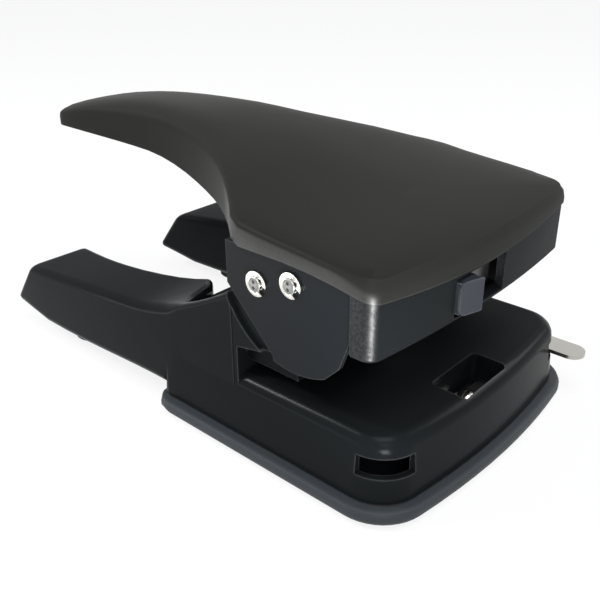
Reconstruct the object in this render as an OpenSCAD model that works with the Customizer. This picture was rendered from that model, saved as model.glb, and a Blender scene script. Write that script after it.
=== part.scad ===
// Two-hole punch with a forked base, a long pressing lever and a clip-on chip tray.
// The origin is midway between the two holes, on the table. The paper goes in from -Y,
// the lever tongue points to +Y, and +Z is up. Sizes are in millimetres.

/* [Punching] */
// Distance between the two hole centres
hole_spacing = 80; // [70:1:110]
// Diameter of a punched hole
hole_d = 5.5; // [4.5:0.1:6.5]
// Hole centre to the paper stop
paper_margin = 12; // [11.5:0.5:16]
// Clear height of the paper slot
paper_slot = 5; // [4.5:0.5:7]
// Rise of the punch tips above the platform at rest
punch_lift = 4.2; // [3.5:0.1:4.4]
// Lever swing from open to pressed, in degrees
lever_swing = 20; // [14:1:20]

/* [Base] */
// Height of the platform above the table
platform_h = 29; // [27:1:36]
// Thickness of the platform
platform_t = 3; // [2.5:0.5:4]
// Hole line to the front of the base wall, at its middle
base_front = 55.5; // [54:0.5:66]
// Hole line to the back of the base wall
base_back = 53; // [48:1:60]
// How far the front bulges past its corners
front_bulge = 3; // [1:0.5:5]
// Plan radius of the front corners
corner_r = 14.5; // [10:0.5:18]
// Plan radius of the back corners
back_r = 5; // [4.5:0.5:8]
// Rounding of the platform edge
rim_r = 5; // [2:0.5:5.5]
// Wall of the housing
wall = 2.6; // [2:0.1:3.5]
// Flare of the wall from the platform edge down to the tray
wall_flare = 1.5; // [0:0.1:1.8]
// Height of the throat cut in the side walls
throat_h = 11; // [9:0.5:12]

/* [Prongs] */
// Hole line to the end of the prongs
prong_end = 157; // [137:1:175]
// Height of the prong top behind the base
prong_h = 38; // [34:1:42]
// Fall of the prong top towards its end
prong_fall = 6; // [4:0.5:10]
// Underside of the prongs above the table
prong_clear = 5.6; // [4:0.2:9]
// Half width of the gap at its root
gap_root = 22; // [19:0.5:24]
// Half width of the gap at its widest
gap_wide = 30; // [29:0.5:34]
// Half width of the gap at the prong ends
gap_end = 26.5; // [25:0.5:30]
// Diameter of a rear foot
foot_d = 13; // [10:0.5:16]

/* [Chip tray] */
// Height of the tray
tray_h = 6; // [5:0.5:9]
// Projection of the tray past the base wall
tray_lip = 4.4; // [3:0.2:5]
// Wall of the tray
tray_wall = 1.8; // [1.4:0.1:2.5]

/* [Frame] */
// Sheet thickness of the punch frame
frame_t = 2.4; // [2:0.1:3]
// Hole centre to the inner face of a frame side
side_offset = 8.6; // [8.6:0.1:11]
// Thickness of the housing ears outside the frame
ear_t = 2.8; // [2.4:0.1:3.5]

/* [Lever] */
// Fulcrum pin ahead of the hole line
fulcrum_y = 13.3; // [13:0.1:15]
// Fulcrum pin above the platform
fulcrum_h = 41.3; // [40.5:0.1:45]
// Drive pin behind the fulcrum pin
arm_y = 14.2; // [13.8:0.1:15]
// Drive pin below the fulcrum pin
arm_z = 3.8; // [3.4:0.1:4.2]
// Diameter of both lever pins
pin_d = 5; // [4:0.1:5.4]
// Thickness of the lever cheeks
cheek_t = 1.6; // [1.2:0.1:2]
// Radius of the cheek's lower edge about the fulcrum
cheek_r = 30; // [28:0.5:30.5]
// Fulcrum to the front edge of a cheek
cheek_front = 21.7; // [20:0.1:24]
// Fulcrum to the back edge of a cheek
cheek_back = 27.8; // [25:0.1:29]

/* [Cover] */
// Wall of the lever cover
cover_t = 1.6; // [1.2:0.1:2]
// Hole line to the end of the tongue
tongue_end = 167; // [150:1:190]
// Width of the tongue
tongue_w = 36; // [30:1:38]
// Hole line to the front of the cover, at its middle
cover_front = 48; // [47:0.5:50]
// Depth of the front panel below the rim
panel_h = 18.5; // [17:0.5:20]
// Height of the arched top above the rim
arch_h = 16.5; // [14:0.5:19]

/* [Lock] */
// Sideways place of the lock window's middle
lock_x = -5.5; // [-8:0.5:4]
// Travel of the lock
lock_travel = 18; // [12:0.5:18]
// Width of the lock button
button_w = 10; // [9:0.5:11]
// Height of the lock button
button_h = 11.4; // [10:0.1:11.6]

/* [Paper guide] */
// Sideways place of the guide stud
stud_x = -4; // [-8:0.5:4]
// Travel of the paper guide
guide_travel = 30; // [15:1:32]
// Width of the guide bar
bar_w = 8; // [7:0.5:9]
// Thickness of the guide bar
bar_t = 1.5; // [1:0.1:1.8]

/* [Return spring] */
// Wire diameter
wire_d = 1.2; // [0.8:0.1:1.4]
// Number of curls
curls = 6; // [4:1:7]
// Mean diameter of the spring
spring_d = 11; // [10.6:0.1:11.4]

/* [Hidden] */
$fn = 64;

// Clearances: a running pin, a guided punch, passing parts, a loose hole, the tray seat
run_gap = 0.05;
guide_gap = 0.05;
side_gap = 0.4;
loose_gap = 0.1;
seat_gap = 0.1;

// Heights
deck_z = platform_h - platform_t;
slot_top = platform_h + paper_slot;
plate_top = slot_top + frame_t;
fulcrum_z = platform_h + fulcrum_h;
drive_z = fulcrum_z - arm_z;
drive_y = arm_y - fulcrum_y;
tip_z = platform_h + punch_lift;
throat_top = platform_h + throat_h;
web_gap = 6.5;
web_z = fulcrum_z + web_gap;
web_top = web_z + cheek_t;
rim_low = web_z + 0.7;
rim_tall = 6.5;

// Half widths, from the holes outwards
hole_x = hole_spacing / 2;
side_in = hole_x + side_offset;
side_out = side_in + frame_t;
ear_out = side_out + ear_t;
cheek_in = ear_out + side_gap;
cheek_out = cheek_in + cheek_t;
clip_t = 0.8;
clip_in = cheek_out + 0.15;
pin_half = clip_in + clip_t + 0.6;
cover_half = cheek_out + 0.2 + cover_t;
base_half = cover_half - 1;

// Where the drive pin ends when the lever is pressed
pressed_y = -fulcrum_y + arm_y * cos(lever_swing) - arm_z * sin(lever_swing);
pressed_z = fulcrum_z - arm_y * sin(lever_swing) - arm_z * cos(lever_swing);
stroke = drive_z - pressed_z;

// Colours
black_shell = [0.13, 0.13, 0.13];
grey_plate = [0.19, 0.2, 0.22];
tray_blue = [0.29, 0.32, 0.35];
button_grey = [0.42, 0.46, 0.5];
bright_steel = [0.8, 0.8, 0.78];
dark_rubber = [0.06, 0.06, 0.06];

// Mirror the children to the other side as well
module both_sides() {
    children();
    mirror([1, 0, 0]) children();
}

// A profile in Y and Z, made solid from x0 to x1
module side_plate(x0, x1) {
    translate([x0, 0, 0]) rotate([90, 0, 90]) linear_extrude(x1 - x0) children();
}

// A cylinder along X from x0 to x1, at y and z
module cross_pin(x0, x1, y, z, d) {
    translate([x0, y, z]) rotate([0, 90, 0]) cylinder(d = d, h = x1 - x0);
}

// A long round-ended cut along X between two places in the YZ plane
module cross_slot(x0, x1, from, to, d) {
    span = norm(to - from);
    angle = atan2(to[1] - from[1], to[0] - from[0]);
    cross_pin(x0, x1, from[0], from[1], d);
    cross_pin(x0, x1, to[0], to[1], d);
    translate([x0, from[0], from[1]]) rotate([angle, 0, 0])
        translate([0, 0, -d / 2]) cube([x1 - x0, span, d]);
}

// A round-cornered rectangle centred on the origin
module round_rect(w, l, r) {
    square([w - 2 * r, l], center = true);
    square([w, l - 2 * r], center = true);
    for (x = [-1, 1], y = [-1, 1])
        translate([x * (w / 2 - r), y * (l / 2 - r)]) circle(r);
}

// A smooth step from 0 to 1
function ease(t) = let (u = min(max(t, 0), 1)) u * u * (3 - 2 * u);
function mix(a, b, t) = a + (b - a) * t;

// A half outline on the right, closed with its mirror image on the left
function full_loop(half) = concat(half, [for (i = [len(half) - 2:-1:1]) [-half[i][0], half[i][1]]]);
function at_height(loop, z) = [for (p = loop) [p[0], p[1], z]];

// A closed solid through rings of equal length
module loft(rings) {
    n = len(rings[0]);
    last = len(rings) - 1;
    polyhedron(
        points = [for (ring = rings, p = ring) p],
        faces = concat(
            [[for (j = [n - 1:-1:0]) j]],
            [for (i = [0:last - 1], j = [0:n - 1]) let (k = (j + 1) % n)
                each [[i * n + j, (i + 1) * n + k, (i + 1) * n + j], [i * n + j, i * n + k, (i + 1) * n + k]]],
            [[for (j = [0:n - 1]) last * n + j]]));
}

// The same for rings that go along a wall's outer face and back along its inner face
module wall_loft(rings) {
    n = len(rings[0]);
    last = len(rings) - 1;
    cap = [for (j = [0:n / 2 - 2]) each [[j, j + 1, n - 2 - j], [j, n - 2 - j, n - 1 - j]]];
    polyhedron(
        points = [for (ring = rings, p = ring) p],
        faces = concat(
            [for (f = cap) [f[2], f[1], f[0]]],
            [for (i = [0:last - 1], j = [0:n - 1]) let (k = (j + 1) % n)
                each [[i * n + j, (i + 1) * n + k, (i + 1) * n + j], [i * n + j, i * n + k, (i + 1) * n + k]]],
            [for (f = cap) [for (v = f) last * n + v]]));
}

// Plan of the base
// The wall, the tray and the platform rim are parallel outlines: a bulged front, two round
// corners, straight sides and a straight back. d is the distance outwards from the base wall.
bow_half = base_half - corner_r;
bow_r = (bow_half * bow_half + front_bulge * front_bulge) / (2 * front_bulge);
bow_y = bow_r - base_front;
bow_angle = asin(bow_half / (bow_r - corner_r));
corner_y = bow_y - (bow_r - corner_r) * cos(bow_angle);

function plan_loop(d, back) = let (r = max(back_r + d, 0.5)) full_loop(concat(
    [for (i = [0:5]) let (a = bow_angle * i / 5) [(bow_r + d) * sin(a), bow_y - (bow_r + d) * cos(a)]],
    [for (i = [1:10]) let (a = mix(bow_angle, 90, i / 10))
        [bow_half + (corner_r + d) * sin(a), corner_y - (corner_r + d) * cos(a)]],
    [for (a = [0, 30, 60, 90]) [base_half + d - r + r * cos(a), back + d - r + r * sin(a)]],
    [[0, back + d]]));

module base_plan(d = 0, back = base_back) {
    polygon(plan_loop(d, back));
}

// The outside of the base: a wall that flares down to the tray, with a rounded platform edge
flare_top = -0.6 * wall_flare;
module base_block() {
    loft(concat(
        [for (a = [90, 72, 54, 36, 18, 0])
            at_height(plan_loop(flare_top - rim_r * (1 - cos(a)), base_back), platform_h - rim_r + rim_r * sin(a))],
        [at_height(plan_loop(flare_top + wall_flare, base_back), tray_h + seat_gap)]));
}

// Prongs
// Each prong starts as a thin wing behind the ear, sweeps down and grows wide behind the base,
// and ends in a rounded nose.
wing_root = paper_margin + 2;
prong_edge = 4;
prong_out = base_half + flare_top;
end_edge = 3.6;
end_lean = 0.8;
foot_y = 119;
sweep_end = base_back + 20;
sweep_rise = 17;
wide_y = 100;
straight_end = prong_end - 17;

function gap_half(y) = y < wide_y
    ? gap_wide - (gap_wide - gap_root) * pow(min((wide_y - y) / (wide_y - base_back), 1), 2)
    : gap_wide - (gap_wide - gap_end) * pow((y - wide_y) / (straight_end + 7 - wide_y), 2);
function prong_in(y) = mix(side_out + 0.6, gap_half(y), ease((y - base_back + 14) / 20));
function prong_top(y) = prong_h - prong_fall * (y - sweep_end) / (straight_end - sweep_end)
    + sweep_rise * pow(max(1 - (y - wing_root + 1) / (sweep_end - wing_root), 0), 2);
function prong_under(y) = prong_clear + 2.6 * (1 - ease((y - base_back) / (foot_y - base_back)))
    + 4 * ease((y - foot_y - 10) / (prong_end - foot_y - 10));
function prong_low(y) = mix(platform_h - 6, prong_under(y), ease((y - base_back + 9) / 8));

// Cross-section of a prong, a rectangle with round corners, drawn in by d. The rings lean back
// more and more towards the end, which is one sloping face.
function prong_lean(y) = end_lean * ease((y - sweep_end - 20) / (prong_end - sweep_end - 20));
function prong_ring(y, d) = let (
    lean = prong_lean(y), yt = y - 17 * lean,
    x0 = prong_in(yt + 8 * lean) + d, x1 = prong_out - d,
    z0 = prong_low(y) + d, z1 = prong_top(yt) - d,
    r = max(min(prong_edge, 0.4 * (x1 - x0 + 2 * d)) - d, 0.6),
    corners = [[x1 - r, z1 - r, 0], [x0 + r, z1 - r, 90], [x0 + r, z0 + r, 180], [x1 - r, z0 + r, 270]])
    [for (c = corners, a = [0, 22, 45, 68, 90])
        let (x = c[0] + r * cos(c[2] + a), z = c[1] + r * sin(c[2] + a))
        [x, y - lean * (z - 12), z]];

prong_steps = [0, 0.03, 0.08, 0.13, 0.18, 0.23, 0.27, 0.31, 0.35, 0.4, 0.46, 0.54, 0.63, 0.73, 0.82, 0.91];
prong_stations = concat(
    [for (u = prong_steps) [mix(wing_root, prong_end, u), 0]],
    [for (a = [0, 25, 50, 72, 90]) [prong_end - end_edge + end_edge * sin(a), end_edge * (1 - cos(a))]]);

module prong() {
    loft([for (s = prong_stations) prong_ring(s[0], s[1])]);
}

// Side ears of the housing
// An ear carries the frame and its pins, and is hollowed outside for the lever cheek.
ear_boss_r = 6;
ear_front = fulcrum_y + ear_boss_r + 1.5;
ear_back = wing_root + 4;

module ear_profile() {
    polygon([
        [paper_margin, throat_top], [-paper_margin / 3, throat_top + 3], [-ear_front, throat_top + 6],
        [-ear_front, fulcrum_z - 4], [-fulcrum_y - ear_boss_r * 0.7, fulcrum_z],
        [-fulcrum_y + ear_boss_r * 0.8, fulcrum_z], [drive_y + 5, drive_z + 1],
        [ear_back, prong_top(ear_back) - 1.5], [ear_back, platform_h - 4], [paper_margin, platform_h - 4]]);
    translate([-fulcrum_y, fulcrum_z]) circle(ear_boss_r);
}

module side_walls() {
    recess_r = cheek_r + 1.5;
    both_sides() difference() {
        union() {
            side_plate(side_out, prong_out - 0.3) ear_profile();
            prong();
        }
        cross_pin(ear_out, base_half + 1, -fulcrum_y, fulcrum_z, 2 * recess_r);
        cross_pin(side_out - 1, ear_out + 1, -fulcrum_y, fulcrum_z, pin_d + 2 * loose_gap);
        cross_slot(side_out - 1, base_half + 1, [drive_y, drive_z], [pressed_y, pressed_z], pin_d + 1.6);
        rivet_holes();
    }
}

// Paper stop and the deck behind it
module stop_deck() {
    deck_top = prong_h - 1.5;
    translate([-side_out - 0.5, paper_margin, deck_z + 1])
        cube([2 * side_out + 1, base_back - paper_margin - 1, deck_top - deck_z - 1]);
}

// Pocket for the guide stud, and the corner windows for the guide
pocket_w = 27;
pocket_l = 13;
pocket_y = -45.5;
pocket_floor = platform_h - 12.3;
pocket_wall = 1.5;
window_low = pocket_floor - 1.5;
window_high = platform_h - 6.8;
window_side = 38.5;
window_front = 43.5;

module pocket_box() {
    translate([stud_x, pocket_y, pocket_floor - pocket_wall])
        linear_extrude(deck_z - pocket_floor + pocket_wall + 0.5)
            round_rect(pocket_w + 2 * pocket_wall, pocket_l + 2 * pocket_wall, 3);
}

module pocket_cut() {
    translate([stud_x, pocket_y, pocket_floor])
        linear_extrude(platform_h) round_rect(pocket_w, pocket_l, 2);
    translate([stud_x - pocket_w, pocket_y - bar_w / 2 - side_gap, pocket_floor])
        cube([2 * pocket_w, bar_w + 2 * side_gap, bar_t + 2 * side_gap]);
    translate([stud_x, pocket_y, pocket_floor - pocket_wall - 1]) cylinder(d = stud_d + 2 * loose_gap, h = 5);
}

module corner_windows() {
    both_sides() translate([window_front, -base_front - 5, window_low])
        cube([base_half, base_front + 5 - window_side, window_high - window_low]);
}

// Dies, their plate and its screws
die_d = 11;
die_h = 7;
die_plate_half = 10;
screw_d = 4;
screw_x = hole_x / 2;
screw_y = die_plate_half - 3.5;

module die_holes(z, h) {
    for (s = [-1, 1]) translate([s * hole_x, 0, z]) cylinder(d = die_d + 2 * loose_gap, h = h);
    for (x = [-1, 1], y = [-1, 1])
        translate([x * screw_x, y * screw_y, z]) cylinder(d = screw_d + 2 * loose_gap, h = h);
}

// The whole base moulding
module base_moulding() {
    difference() {
        union() {
            difference() {
                union() {
                    base_block();
                    side_walls();
                }
                translate([0, 0, tray_h - 1]) linear_extrude(deck_z - tray_h + 1) base_plan(-wall);
            }
            pocket_box();
            stop_deck();
        }
        pocket_cut();
        corner_windows();
        die_holes(deck_z - 1, platform_t - 0.6);
        for (s = [-1, 1]) translate([s * hole_x, 0, deck_z - 1])
            cylinder(d = die_d + 2 * loose_gap, h = platform_t + 2);
    }
}

// The moulding is kept as two pieces that meet at the paper stop: the platform with its walls,
// and the fork with the stop, the ears and the prongs
module behind_stop() {
    translate([-2 * base_half, paper_margin, -1]) cube([4 * base_half, 2 * prong_end, 200]);
    translate([-2 * base_half, -2 * base_front, platform_h + 2]) cube([4 * base_half, 4 * base_front, 100]);
}

module base_housing() {
    color(black_shell) difference() {
        base_moulding();
        behind_stop();
    }
}

module base_fork() {
    color(black_shell) intersection() {
        base_moulding();
        behind_stop();
    }
}

// The tray has a rounded lip, and hangs on a low rib that fits inside the housing wall
function tray_ring(d, z) = at_height(plan_loop(d, base_back - tray_lip + 2), z);
module chip_tray() {
    rib = wall + 0.3;
    color(tray_blue) difference() {
        union() {
            loft([tray_ring(tray_lip - 1.9, tray_h), tray_ring(tray_lip - 0.6, tray_h - 0.5),
                  tray_ring(tray_lip, tray_h - 1.8), tray_ring(tray_lip, tray_h * 0.42),
                  tray_ring(tray_lip - 1.1, tray_h * 0.15), tray_ring(tray_lip - 2.4, 0)]);
            translate([0, 0, tray_h / 2]) linear_extrude(tray_h / 2 + 2) base_plan(-rib);
        }
        translate([0, 0, tray_wall]) linear_extrude(tray_h + 2) base_plan(-rib - tray_wall);
    }
}

module rear_feet() {
    h = prong_under(foot_y);
    color(dark_rubber) both_sides() translate([(prong_in(foot_y) + base_half) / 2, foot_y, 0])
        rotate_extrude() polygon([[0, 0], [foot_d / 2 - 1, 0], [foot_d / 2, 1], [foot_d / 2, h], [0, h]]);
}

// Punch frame: a channel with a guide plate, two sides and a catch for the lock
plate_half = 11;
rivet_d = 4;
rivet_places = [[7, throat_top + 16], [-6, throat_top + 9]];
catch_x0 = 24;
catch_w = 10;
catch_t = 2.4;
catch_z = fulcrum_z - 4.3;

module rivet_holes() {
    for (p = rivet_places) cross_pin(side_in - 5, ear_out + 1, p[0], p[1], rivet_d + 2 * loose_gap);
}

module frame_side() {
    side_plate(side_in, side_out) {
        polygon([[-plate_half, slot_top], [plate_half, slot_top], [plate_half, drive_z - 4], [drive_y + 4.5, drive_z + 3],
                 [-fulcrum_y + ear_boss_r * 0.7, fulcrum_z + ear_boss_r * 0.7], [-fulcrum_y, fulcrum_z],
                 [-fulcrum_y - ear_boss_r, fulcrum_z - 1], [-plate_half, slot_top + 16]]);
        translate([-fulcrum_y, fulcrum_z]) circle(ear_boss_r);
    }
}

module lock_catch() {
    translate([catch_x0, -plate_half - 0.4, slot_top]) cube([catch_w, catch_t, catch_z - slot_top]);
    translate([catch_x0, -catch_front, catch_z - catch_t])
        cube([catch_w, catch_front - plate_half, catch_t]);
}

module punch_frame() {
    bush_d = bush_od + 2 * loose_gap;
    color(bright_steel) difference() {
        union() {
            translate([-side_out, -plate_half, slot_top]) cube([2 * side_out, 2 * plate_half, frame_t]);
            both_sides() frame_side();
            lock_catch();
        }
        for (s = [-1, 1]) translate([s * hole_x, 0, slot_top - 1]) cylinder(d = bush_d, h = frame_t + 2);
        both_sides() {
            cross_pin(side_in - 1, side_out + 1, -fulcrum_y, fulcrum_z, pin_d + 2 * run_gap);
            cross_slot(side_in - 1, side_out + 1, [drive_y, drive_z], [pressed_y, pressed_z], pin_d + 1.2);
            rivet_holes();
        }
    }
}

module frame_rivets() {
    color(bright_steel) both_sides() for (p = rivet_places) {
        cross_pin(side_in - 1.2, side_in, p[0], p[1], rivet_d + 3);
        cross_pin(side_in - 0.2, ear_out - 0.1, p[0], p[1], rivet_d);
    }
}

module die_plate() {
    color(bright_steel) difference() {
        translate([-side_out, -die_plate_half, deck_z - frame_t])
            cube([2 * side_out, 2 * die_plate_half, frame_t]);
        die_holes(deck_z - frame_t - 1, frame_t + 2);
    }
}

// A hardened ring with a sharp upper edge and a wider way out for the chips
module die() {
    land = 3;
    bore = hole_d / 2 + guide_gap;
    rotate_extrude() polygon([[bore, platform_h], [die_d / 2, platform_h], [die_d / 2, platform_h - die_h],
                              [bore + 0.9, platform_h - die_h], [bore + 0.9, platform_h - land - 1],
                              [bore, platform_h - land]]);
}

module die_left() { color(bright_steel) translate([-hole_x, 0, 0]) die(); }
module die_right() { color(bright_steel) translate([hole_x, 0, 0]) die(); }

module die_screws() {
    top = deck_z + platform_t - 1.8;
    seat = deck_z - frame_t;
    color(bright_steel) for (x = [-1, 1], y = [-1, 1]) translate([x * screw_x, y * screw_y, 0])
        difference() {
            union() {
                translate([0, 0, seat]) cylinder(d = screw_d, h = top - seat);
                translate([0, 0, seat - 2.2]) cylinder(d = 1.8 * screw_d, h = 2.2);
            }
            translate([-screw_d, -0.5, seat - 3]) cube([2 * screw_d, 1, 1.8]);
        }
}

// A flanged sleeve in the guide plate that keeps a punch upright
bush_od = 8.6;
bush_h = 9;

module guide_bush() {
    bore = hole_d / 2 + guide_gap;
    rotate_extrude() polygon([[bore, slot_top], [bush_od / 2, slot_top], [bush_od / 2, slot_top + bush_h],
                              [bore + 0.6, slot_top + bush_h], [bore, slot_top + bush_h - 0.6]]);
}

module guide_bush_left() { color(bright_steel) translate([-hole_x, 0, 0]) guide_bush(); }
module guide_bush_right() { color(bright_steel) translate([hole_x, 0, 0]) guide_bush(); }

// Guide stud, washer and sliding guide
stud_d = 4;
stud_head = 7;
washer_d = 10;
washer_t = 0.8;
bar_z = pocket_floor + loose_gap;
washer_z = bar_z + bar_t + loose_gap;
bar_left = stud_x - guide_travel - 6;
foot_right = base_half + 0.5;
foot_w = 10;
foot_front = base_front + 6.5;

module guide_stud() {
    seat = washer_z + washer_t;
    dome = 2.6;
    color(bright_steel) translate([stud_x, pocket_y, 0]) rotate_extrude()
        polygon(concat([[0, pocket_floor - pocket_wall], [stud_d / 2, pocket_floor - pocket_wall],
                        [stud_d / 2, seat], [stud_head / 2, seat]],
                       [for (a = [15:15:90]) [stud_head / 2 * cos(a), seat + 0.4 + dome * sin(a)]]));
}

module guide_washer() {
    color(bright_steel) translate([stud_x, pocket_y, washer_z]) difference() {
        cylinder(d = washer_d, h = washer_t);
        translate([0, 0, -1]) cylinder(d = stud_d + 2 * loose_gap, h = washer_t + 2);
    }
}

module paper_guide() {
    slot_w = stud_d + 0.5;
    slot_right = stud_x + slot_w / 2 + 0.2;
    slot_left = slot_right - guide_travel - slot_w - 0.4;
    color(bright_steel) translate([0, 0, bar_z]) linear_extrude(bar_t) difference() {
        union() {
            translate([bar_left, pocket_y - bar_w / 2]) square([foot_right - bar_left, bar_w]);
            translate([foot_right - foot_w, -foot_front + foot_w / 2])
                square([foot_w, foot_front + pocket_y + bar_w / 2 - foot_w / 2]);
            translate([foot_right - foot_w / 2, -foot_front + foot_w / 2]) circle(foot_w / 2);
        }
        translate([slot_left + slot_w / 2, pocket_y]) circle(slot_w / 2);
        translate([slot_right - slot_w / 2, pocket_y]) circle(slot_w / 2);
        translate([slot_left + slot_w / 2, pocket_y - slot_w / 2])
            square([slot_right - slot_left - slot_w, slot_w]);
    }
}

// Lever pins and their clips
groove_d = pin_d - 1.6;
clip_d = 8.4;

module lever_pin(y, z) {
    color(bright_steel) difference() {
        cross_pin(-pin_half, pin_half, y, z, pin_d);
        both_sides() difference() {
            cross_pin(clip_in - 0.05, clip_in + clip_t + 0.05, y, z, pin_d + 2);
            cross_pin(clip_in - 1, clip_in + clip_t + 1, y, z, groove_d);
        }
    }
}

// An E-shaped spring clip: a ring open on one side, with a slot to its middle
module clip(y, z, turn) {
    neck = groove_d - 0.4;
    color(bright_steel) both_sides() difference() {
        cross_pin(clip_in, clip_in + clip_t, y, z, clip_d);
        cross_pin(clip_in - 1, clip_in + clip_t + 1, y, z, groove_d + 2 * run_gap);
        translate([clip_in - 1, y, z]) rotate([turn, 0, 0])
            translate([0, 0, -neck / 2]) cube([clip_t + 2, clip_d, neck]);
        for (a = [70, -70]) translate([clip_in - 1, y, z]) rotate([turn + a, 0, 0])
            translate([0, groove_d / 2 + 0.6, 0]) rotate([0, 90, 0]) cylinder(d = 1.5, h = clip_t + 2);
    }
}

module fulcrum_shaft() { lever_pin(-fulcrum_y, fulcrum_z); }
module drive_shaft() { lever_pin(drive_y, drive_z); }
module fulcrum_clips() { clip(-fulcrum_y, fulcrum_z, -140); }
module drive_clips() { clip(drive_y, drive_z, -150); }

// Lever bracket: two cheeks joined by a web under the cover, which narrows behind fan_front
fan_front = 10;
keeper_x0 = lock_x - 4;
keeper_w = 14;
keeper_drop = 15;

// Posts between the web and the cover, as high as the lowest place of the cover above them
web_back = fan_front - 4;
post_d = 5;
post_x = hole_x - 6;
function post_top(y) = min([for (x = [-1, 1], v = [-1, 1])
    top_z(post_x + x * post_d / 2, y + v * post_d / 2, 0.75)]) - cover_t - 0.3;

module cheek_profile() {
    intersection() {
        translate([-fulcrum_y, fulcrum_z]) circle(cheek_r);
        translate([-fulcrum_y, fulcrum_z]) polygon([
            [web_back + fulcrum_y, web_top - fulcrum_z], [web_back + fulcrum_y, rim_low - 0.2 - fulcrum_z],
            [cheek_back, rim_low - 0.2 - fulcrum_z], [cheek_back, -7.5], [8.5, -27], [8, -cheek_r - 1],
            [-9, -cheek_r - 1], [-cheek_front + 3.5, -21.5], [-cheek_front, -12],
            [-cheek_front, web_top - fulcrum_z]]);
    }
}

module lever_bracket() {
    web_front = fulcrum_y + cheek_front - 4;
    keeper_y = slide_back + side_gap / 2;
    color(grey_plate) {
        both_sides() difference() {
            side_plate(cheek_in, cheek_out) cheek_profile();
            cross_pin(cheek_in - 1, cheek_out + 1, -fulcrum_y, fulcrum_z, pin_d + 2 * run_gap);
            cross_pin(cheek_in - 1, cheek_out + 1, drive_y, drive_z, pin_d + 2 * run_gap);
        }
        translate([-cheek_out, -web_front, web_z]) cube([2 * cheek_out, web_front + web_back, cheek_t]);
        for (y = [-22, web_back - 4]) both_sides() translate([post_x, y, web_z])
            cylinder(d = post_d, h = post_top(y) - web_z);
        translate([keeper_x0, keeper_y, web_z]) cube([keeper_w, -keeper_y - web_front + 1, cheek_t]);
        translate([keeper_x0, keeper_y, web_z - keeper_drop]) cube([keeper_w, cheek_t, keeper_drop + 0.5]);
    }
}

// Lever cover
// Its plan runs from the bulged front round the corners, along the straight rims, and
// fans in to the tongue. The top is an arched, lightly crowned shell.
cover_corner = 5.5;
fan_len = 120;
fan_power = 2.85;
cover_bow_half = cover_half - cover_corner;
cover_bow_r = (cover_bow_half * cover_bow_half + front_bulge * front_bulge) / (2 * front_bulge);
cover_bow_y = cover_bow_r - cover_front;
cover_bow_angle = asin(cover_bow_half / (cover_bow_r - cover_corner));
cover_corner_y = cover_bow_y - (cover_bow_r - cover_corner) * cos(cover_bow_angle);
tongue_half = tongue_w / 2;
tongue_round = 7;
tongue_straight = tongue_end - tongue_round;

function fan_half(y) = tongue_half
    + (cover_half - tongue_half) * pow(max(1 - max(y - fan_front, 0) / fan_len, 0), fan_power);
function fan_slope(y) = fan_half(y + 0.5) - fan_half(y - 0.5);

// Right half of the plan outline, from the middle of the front to the middle of the tip, set in by d
function cover_nose(d) = concat(
    [for (i = [0:6]) let (a = cover_bow_angle * i / 6)
        [(cover_bow_r - d) * sin(a), cover_bow_y - (cover_bow_r - d) * cos(a)]],
    [for (i = [1:8]) let (a = mix(cover_bow_angle, 90, i / 8))
        [cover_bow_half + (cover_corner - d) * sin(a), cover_corner_y - (cover_corner - d) * cos(a)]]);
function cover_edge(d) = concat(
    cover_nose(d),
    [for (i = [1:5]) [cover_half - d, mix(cover_corner_y, fan_front - 3, i / 5)]],
    [for (i = [0:17]) let (y = mix(fan_front + 3, tongue_straight, pow(i / 17, 1.25)), m = fan_slope(y),
                           q = d / sqrt(1 + m * m))
        [fan_half(y) - q, y + q * m]],
    [for (a = [18, 36, 54, 72, 90])
        [tongue_half - tongue_round + (tongue_round - d) * cos(a), tongue_straight + (tongue_round - d) * sin(a)]],
    [[0, tongue_end - d]]);

// Heights along the cover: its lower edge, and the crown along its middle
rim_top = rim_low + rim_tall;
arch_back = 75;
front_fall = 4.5;
front_droop = 2.4;

function hermite(t, z0, m0, z1, m1) = z0 * (2 * pow(t, 3) - 3 * t * t + 1) + m0 * (pow(t, 3) - 2 * t * t + t)
    + z1 * (3 * t * t - 2 * pow(t, 3)) + m1 * (pow(t, 3) - t * t);
function low_z(x, y) = rim_low + 4.3 * ease((y - 45) / 55)
    - front_fall * pow(max(-y - 12, 0) / (cover_front - 12), 1.6)
    - front_droop * (1 - pow(min(abs(x) / cover_bow_half, 1), 2)) * ease((-y - 30) / 10);
function crown_z(y) = rim_top + (y < 0 ? hermite((y + cover_front) / cover_front, -3.5, 7.8, 4.9, 9.7)
    : y < arch_back ? hermite(y / arch_back, 4.9, 15.2, arch_h, 0)
    : arch_h - 11.5 * pow((y - arch_back) / (tongue_end - arch_back), 2.3));

// Height of the top at a place on the ring f, where f is 0 on the spine and 1 at the edge.
// The edge rolls over softly on the fan and the tongue.
function edge_roll(y) = 1.5 + 3 * ease((y - 26) / 40) * (1 - 0.65 * ease((y - 110) / 50));
function top_z(x, y, f) = crown_z(y) - edge_roll(y) * pow(f, 6)
    - 4.3 * ease((y + 40) / 60) * pow(abs(x) / cover_half, 1.6);
function spine_y(y) = min(max(y, 34 - cover_front), tongue_end - 16);
function front_soft(y) = ease((-y - 34) / 9);
function top_ring(loop, f, drop, soft = 0, wider = 0) = [for (p = loop)
    let (g = f - wider * front_soft(p[1]), x = p[0] * g, y = mix(spine_y(p[1]), p[1], g))
    [x, y, top_z(x, y, g) - drop - soft * front_soft(y)]];
function low_ring(loop) = [for (p = loop) [p[0], p[1], low_z(p[0], p[1])]];

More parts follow.
